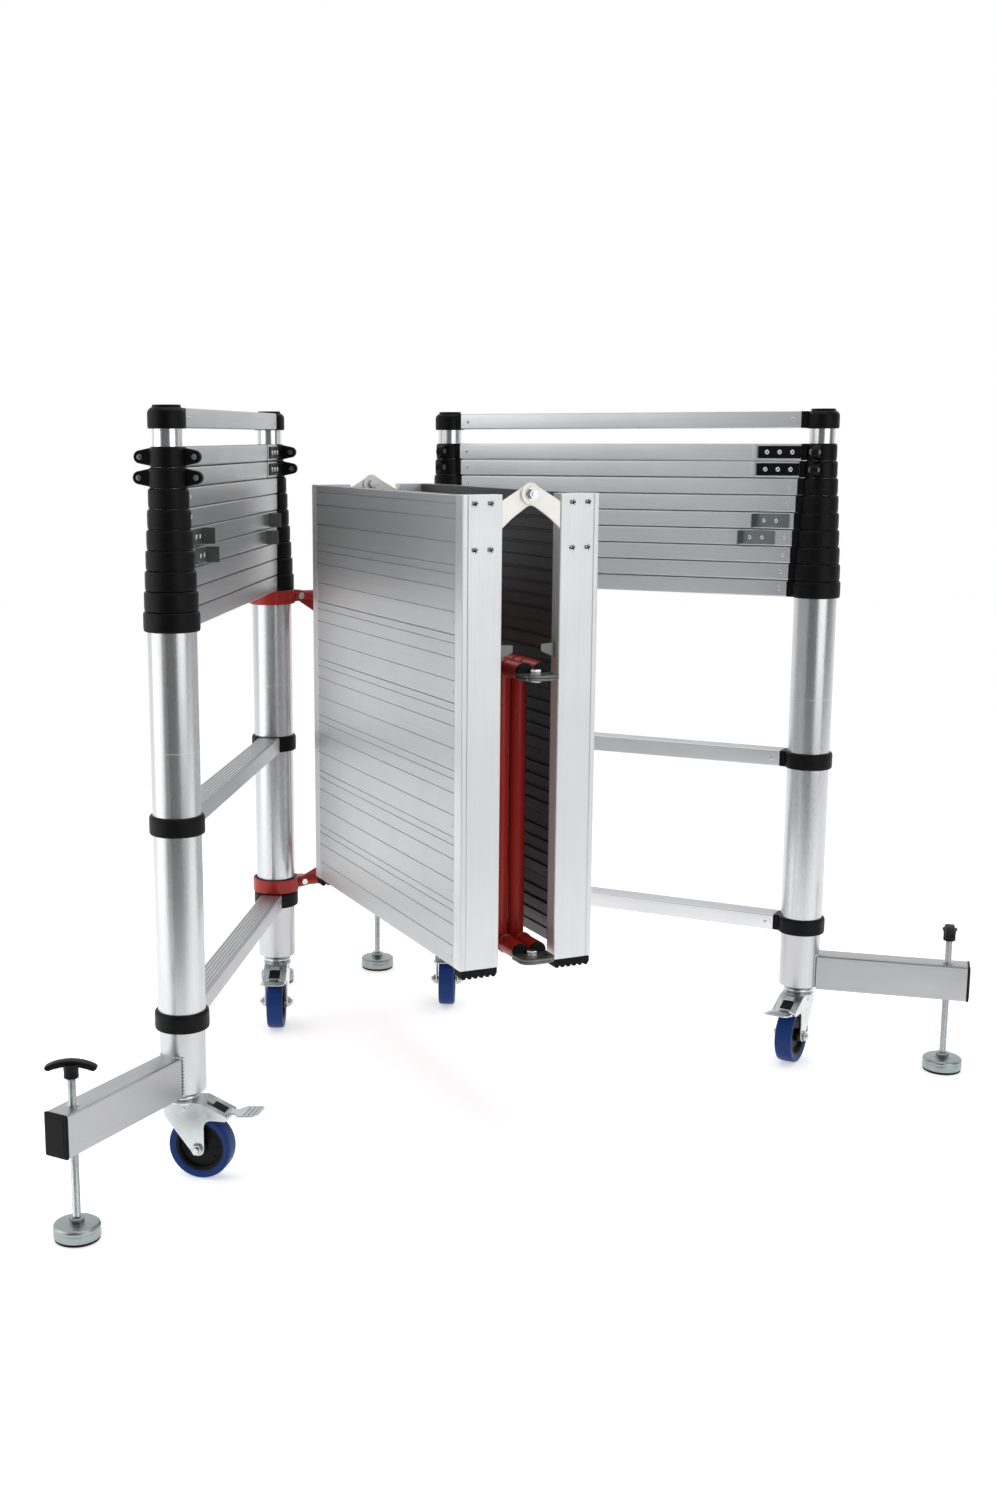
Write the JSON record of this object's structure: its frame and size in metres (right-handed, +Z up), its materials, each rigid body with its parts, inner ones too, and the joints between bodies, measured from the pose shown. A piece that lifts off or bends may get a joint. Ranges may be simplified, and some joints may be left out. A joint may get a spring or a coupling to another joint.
{
  "type": "folding telescopic scaffold tower",
  "caption": "Folding scaffold tower: two telescopic ladder frames on swivel casters and jack feet, a hinged deck over a folding red brace.",
  "frame": {"origin": "middle of the folded tower on the floor", "axes": "+X from the left ladder frame to the right one, +Y towards the two far posts, +Z up"},
  "size_m": [1.6518, 1.092, 1.1566],
  "materials": {
    "post_aluminium": "satin anodised round tube",
    "rung_aluminium": "satin extrusion with a fine lengthwise grain",
    "black_plastic": "fine moulded texture",
    "leg_aluminium": "satin, welded",
    "zinc_plate": "bright zinc plating",
    "blue_tyre": "smooth elastic tread",
    "red_paint": "glossy red enamel",
    "deck_aluminium": "mill finish extrusion",
    "yellow_zinc": "pale yellow zinc plating",
    "black_rubber": "matt"
  },
  "bodies": {
    "brace_left_leaf": {"brace_left": "red_paint", "brace_pivot_bolts": "zinc_plate"},
    "brace_right_leaf": {"brace_right": "red_paint"},
    "left_frame": {"left_outer_tubes": "post_aluminium", "left_fixed_collars": "black_plastic", "left_fixed_rungs": "rung_aluminium"},
    "left_section_1": {"left_section_1": "post_aluminium"},
    "left_section_2": {"left_section_2": "post_aluminium"},
    "left_section_3": {"left_section_3": "post_aluminium"},
    "left_section_4": {"left_section_4": "post_aluminium"},
    "left_section_5": {"left_section_5": "post_aluminium"},
    "left_section_6": {"left_section_6": "post_aluminium"},
    "left_section_7": {"left_section_7": "post_aluminium"},
    "left_section_8": {"left_section_8": "post_aluminium"},
    "left_section_9": {"left_section_9": "post_aluminium"},
    "left_far_leg": {"left_far_leg": "leg_aluminium"},
    "left_far_foot": {"left_far_foot": "zinc_plate"},
    "left_far_screw": {"left_far_jack_screw": "zinc_plate"},
    "left_far_fork": {"left_far_caster_fork": "zinc_plate"},
    "left_far_wheel": {"left_far_wheel": "blue_tyre"},
    "left_far_pedal": {"left_far_brake_pedal": "zinc_plate"},
    "left_near_leg": {"left_near_leg": "leg_aluminium"},
    "left_near_foot": {"left_near_foot": "zinc_plate"},
    "left_near_screw": {"left_near_jack_screw": "zinc_plate"},
    "left_near_fork": {"left_near_caster_fork": "zinc_plate"},
    "left_near_wheel": {"left_near_wheel": "blue_tyre"},
    "left_near_pedal": {"left_near_brake_pedal": "zinc_plate"},
    "right_frame": {"right_outer_tubes": "post_aluminium", "right_fixed_collars": "black_plastic", "right_fixed_rungs": "rung_aluminium"},
    "right_section_1": {"right_section_1": "post_aluminium"},
    "right_section_2": {"right_section_2": "post_aluminium"},
    "right_section_3": {"right_section_3": "post_aluminium"},
    "right_section_4": {"right_section_4": "post_aluminium"},
    "right_section_5": {"right_section_5": "post_aluminium"},
    "right_section_6": {"right_section_6": "post_aluminium"},
    "right_section_7": {"right_section_7": "post_aluminium"},
    "right_section_8": {"right_section_8": "post_aluminium"},
    "right_section_9": {"right_section_9": "post_aluminium"},
    "right_far_leg": {"right_far_leg": "leg_aluminium"},
    "right_far_foot": {"right_far_foot": "zinc_plate"},
    "right_far_screw": {"right_far_jack_screw": "zinc_plate"},
    "right_far_fork": {"right_far_caster_fork": "zinc_plate"},
    "right_far_wheel": {"right_far_wheel": "blue_tyre"},
    "right_far_pedal": {"right_far_brake_pedal": "zinc_plate"},
    "right_near_leg": {"right_near_leg": "leg_aluminium"},
    "right_near_foot": {"right_near_foot": "zinc_plate"},
    "right_near_screw": {"right_near_jack_screw": "zinc_plate"},
    "right_near_fork": {"right_near_caster_fork": "zinc_plate"},
    "right_near_wheel": {"right_near_wheel": "blue_tyre"},
    "right_near_pedal": {"right_near_brake_pedal": "zinc_plate"},
    "deck_hinge": {"deck_hinge_bolts": "zinc_plate"},
    "deck_left_half": {"deck_left_planks": "deck_aluminium", "deck_left_rails": "deck_aluminium", "deck_left_knee_plates": "yellow_zinc", "deck_left_fittings": "black_rubber"},
    "deck_right_half": {"deck_right_planks": "deck_aluminium", "deck_right_rails": "deck_aluminium", "deck_right_knee_plates": "yellow_zinc", "deck_right_fittings": "black_rubber"}
  },
  "joints": [
    {"name": "brace_pivot", "type": "hinge", "parent": "brace_left_leaf", "child": "brace_right_leaf", "pos_m": [-0.04423, -0.45813, 0.5], "axis": [0, 0, -1], "range_deg": [0, 0.7]},
    {"name": "left_clamp_turn", "type": "hinge", "parent": "brace_left_leaf", "child": "left_frame", "pos_m": [-0.22423, 0.25587, 0.55], "axis": [0, 0, -1], "range_deg": [-25, 40]},
    {"name": "left_section_1_slide", "type": "slide", "parent": "left_frame", "child": "left_section_1", "axis": [0, 0, 1], "range_m": [0, 0.27]},
    {"name": "left_section_2_slide", "type": "slide", "parent": "left_section_1", "child": "left_section_2", "axis": [0, 0, 1], "range_m": [0, 0.27]},
    {"name": "left_section_3_slide", "type": "slide", "parent": "left_section_2", "child": "left_section_3", "axis": [0, 0, 1], "range_m": [0, 0.27]},
    {"name": "left_section_4_slide", "type": "slide", "parent": "left_section_3", "child": "left_section_4", "axis": [0, 0, 1], "range_m": [0, 0.27]},
    {"name": "left_section_5_slide", "type": "slide", "parent": "left_section_4", "child": "left_section_5", "axis": [0, 0, 1], "range_m": [0, 0.27]},
    {"name": "left_section_6_slide", "type": "slide", "parent": "left_section_5", "child": "left_section_6", "axis": [0, 0, 1], "range_m": [0, 0.27]},
    {"name": "left_section_7_slide", "type": "slide", "parent": "left_section_6", "child": "left_section_7", "axis": [0, 0, 1], "range_m": [0, 0.27]},
    {"name": "left_section_8_slide", "type": "slide", "parent": "left_section_7", "child": "left_section_8", "axis": [0, 0, 1], "range_m": [0, 0.27]},
    {"name": "left_section_9_slide", "type": "slide", "parent": "left_section_8", "child": "left_section_9", "axis": [0, 0, 1], "range_m": [0, 0.27]},
    {"name": "left_far_leg_swivel", "type": "hinge", "parent": "left_frame", "child": "left_far_leg", "pos_m": [-0.22423, 0.25587, 0.3], "axis": [0, 0, 1], "range_deg": [-10, 90]},
    {"name": "left_far_foot_slide", "type": "slide", "parent": "left_far_leg", "child": "left_far_foot", "axis": [0, 0, 1], "range_m": [-0.0351, 0.0901]},
    {"name": "left_far_screw_turn", "type": "hinge", "parent": "left_far_foot", "child": "left_far_screw", "pos_m": [-0.14289, 0.49755, 0.1], "axis": [0, 0, 1], "range_deg": [-7200, 18514]},
    {"name": "left_far_caster_swivel", "type": "hinge", "parent": "left_far_leg", "child": "left_far_fork", "pos_m": [-0.22423, 0.25587, 0.13], "axis": [0, 0, 1], "continuous": true},
    {"name": "left_far_wheel_spin", "type": "hinge", "parent": "left_far_fork", "child": "left_far_wheel", "pos_m": [-0.23562, 0.23029, 0.05], "axis": [0.9135, -0.4067, 0], "continuous": true},
    {"name": "left_far_pedal_press", "type": "hinge", "parent": "left_far_fork", "child": "left_far_pedal", "pos_m": [-0.25412, 0.18872, 0.0995], "axis": [0.9135, -0.4067, 0], "range_deg": [0, 8]},
    {"name": "left_near_leg_swivel", "type": "hinge", "parent": "left_frame", "child": "left_near_leg", "pos_m": [-0.58149, -0.35307, 0.3], "axis": [0, 0, 1], "range_deg": [-45, 45]},
    {"name": "left_near_foot_slide", "type": "slide", "parent": "left_near_leg", "child": "left_near_foot", "axis": [0, 0, 1], "range_m": [-0.0351, 0.0901]},
    {"name": "left_near_screw_turn", "type": "hinge", "parent": "left_near_foot", "child": "left_near_screw", "pos_m": [-0.78434, -0.50759, 0.1], "axis": [0, 0, 1], "range_deg": [-7200, 18514]},
    {"name": "left_near_caster_swivel", "type": "hinge", "parent": "left_near_leg", "child": "left_near_fork", "pos_m": [-0.58149, -0.35307, 0.13], "axis": [0, 0, 1], "continuous": true},
    {"name": "left_near_wheel_spin", "type": "hinge", "parent": "left_near_fork", "child": "left_near_wheel", "pos_m": [-0.55943, -0.3703, 0.05], "axis": [0.6157, 0.788, 0], "continuous": true},
    {"name": "left_near_pedal_press", "type": "hinge", "parent": "left_near_fork", "child": "left_near_pedal", "pos_m": [-0.52357, -0.39832, 0.0995], "axis": [0.6157, 0.788, 0], "range_deg": [0, 8]},
    {"name": "right_clamp_turn", "type": "hinge", "parent": "brace_right_leaf", "child": "right_frame", "pos_m": [0.13577, 0.25587, 0.55], "axis": [0, 0, 1], "range_deg": [-25, 40]},
    {"name": "right_section_1_slide", "type": "slide", "parent": "right_frame", "child": "right_section_1", "axis": [0, 0, 1], "range_m": [0, 0.27]},
    {"name": "right_section_2_slide", "type": "slide", "parent": "right_section_1", "child": "right_section_2", "axis": [0, 0, 1], "range_m": [0, 0.27]},
    {"name": "right_section_3_slide", "type": "slide", "parent": "right_section_2", "child": "right_section_3", "axis": [0, 0, 1], "range_m": [0, 0.27]},
    {"name": "right_section_4_slide", "type": "slide", "parent": "right_section_3", "child": "right_section_4", "axis": [0, 0, 1], "range_m": [0, 0.27]},
    {"name": "right_section_5_slide", "type": "slide", "parent": "right_section_4", "child": "right_section_5", "axis": [0, 0, 1], "range_m": [0, 0.27]},
    {"name": "right_section_6_slide", "type": "slide", "parent": "right_section_5", "child": "right_section_6", "axis": [0, 0, 1], "range_m": [0, 0.27]},
    {"name": "right_section_7_slide", "type": "slide", "parent": "right_section_6", "child": "right_section_7", "axis": [0, 0, 1], "range_m": [0, 0.27]},
    {"name": "right_section_8_slide", "type": "slide", "parent": "right_section_7", "child": "right_section_8", "axis": [0, 0, 1], "range_m": [0, 0.27]},
    {"name": "right_section_9_slide", "type": "slide", "parent": "right_section_8", "child": "right_section_9", "axis": [0, 0, 1], "range_m": [0, 0.27]},
    {"name": "right_far_leg_swivel", "type": "hinge", "parent": "right_frame", "child": "right_far_leg", "pos_m": [0.13577, 0.25587, 0.3], "axis": [0, 0, -1], "range_deg": [-10, 90]},
    {"name": "right_far_foot_slide", "type": "slide", "parent": "right_far_leg", "child": "right_far_foot", "axis": [0, 0, 1], "range_m": [-0.0351, 0.0901]},
    {"name": "right_far_screw_turn", "type": "hinge", "parent": "right_far_foot", "child": "right_far_screw", "pos_m": [0.0845, 0.50566, 0.1], "axis": [0, 0, 1], "range_deg": [-7200, 18514]},
    {"name": "right_far_caster_swivel", "type": "hinge", "parent": "right_far_leg", "child": "right_far_fork", "pos_m": [0.13577, 0.25587, 0.13], "axis": [0, 0, 1], "continuous": true},
    {"name": "right_far_wheel_spin", "type": "hinge", "parent": "right_far_fork", "child": "right_far_wheel", "pos_m": [0.12306, 0.23092, 0.05], "axis": [0.891, -0.454, 0], "continuous": true},
    {"name": "right_far_pedal_press", "type": "hinge", "parent": "right_far_fork", "child": "right_far_pedal", "pos_m": [0.1024, 0.19038, 0.0995], "axis": [0.891, -0.454, 0], "range_deg": [0, 8]},
    {"name": "right_near_leg_swivel", "type": "hinge", "parent": "right_frame", "child": "right_near_leg", "pos_m": [0.58579, -0.28811, 0.3], "axis": [0, 0, -1], "range_deg": [-45, 45]},
    {"name": "right_near_foot_slide", "type": "slide", "parent": "right_near_leg", "child": "right_near_foot", "axis": [0, 0, 1], "range_m": [-0.0351, 0.0901]},
    {"name": "right_near_screw_turn", "type": "hinge", "parent": "right_near_foot", "child": "right_near_screw", "pos_m": [0.78452, -0.4479, 0.1], "axis": [0, 0, 1], "range_deg": [-7200, 18514]},
    {"name": "right_near_caster_swivel", "type": "hinge", "parent": "right_near_leg", "child": "right_near_fork", "pos_m": [0.58579, -0.28811, 0.13], "axis": [0, 0, 1], "continuous": true},
    {"name": "right_near_wheel_spin", "type": "hinge", "parent": "right_near_fork", "child": "right_near_wheel", "pos_m": [0.56314, -0.30457, 0.05], "axis": [0.5878, -0.809, 0], "continuous": true},
    {"name": "right_near_pedal_press", "type": "hinge", "parent": "right_near_fork", "child": "right_near_pedal", "pos_m": [0.52633, -0.33132, 0.0995], "axis": [0.5878, -0.809, 0], "range_deg": [0, 8]},
    {"name": "deck_pull_out", "type": "slide", "parent": "brace_left_leaf", "child": "deck_hinge", "axis": [0, -1, 0], "range_m": [0, 1.7]},
    {"name": "deck_left_unfold", "type": "hinge", "parent": "deck_hinge", "child": "deck_left_half", "pos_m": [-0.05423, -0.14413, 1.0273], "axis": [0, 1, 0], "range_deg": [0, 90]},
    {"name": "deck_right_unfold", "type": "hinge", "parent": "deck_hinge", "child": "deck_right_half", "pos_m": [-0.05423, -0.14413, 1.0273], "axis": [0, -1, 0], "range_deg": [0, 90]}
  ],
  "couplings": [
    {"joint": "left_far_foot_slide", "follows": "left_far_screw_turn", "m_per_rad": 0.00027852},
    {"joint": "left_near_foot_slide", "follows": "left_near_screw_turn", "m_per_rad": 0.00027852},
    {"joint": "right_far_foot_slide", "follows": "right_far_screw_turn", "m_per_rad": 0.00027852},
    {"joint": "right_near_foot_slide", "follows": "right_near_screw_turn", "m_per_rad": 0.00027852},
    {"joint": "deck_left_unfold", "follows": "deck_pull_out", "rad_per_m": 0.924},
    {"joint": "deck_right_unfold", "follows": "deck_pull_out", "rad_per_m": 0.924}
  ]
}
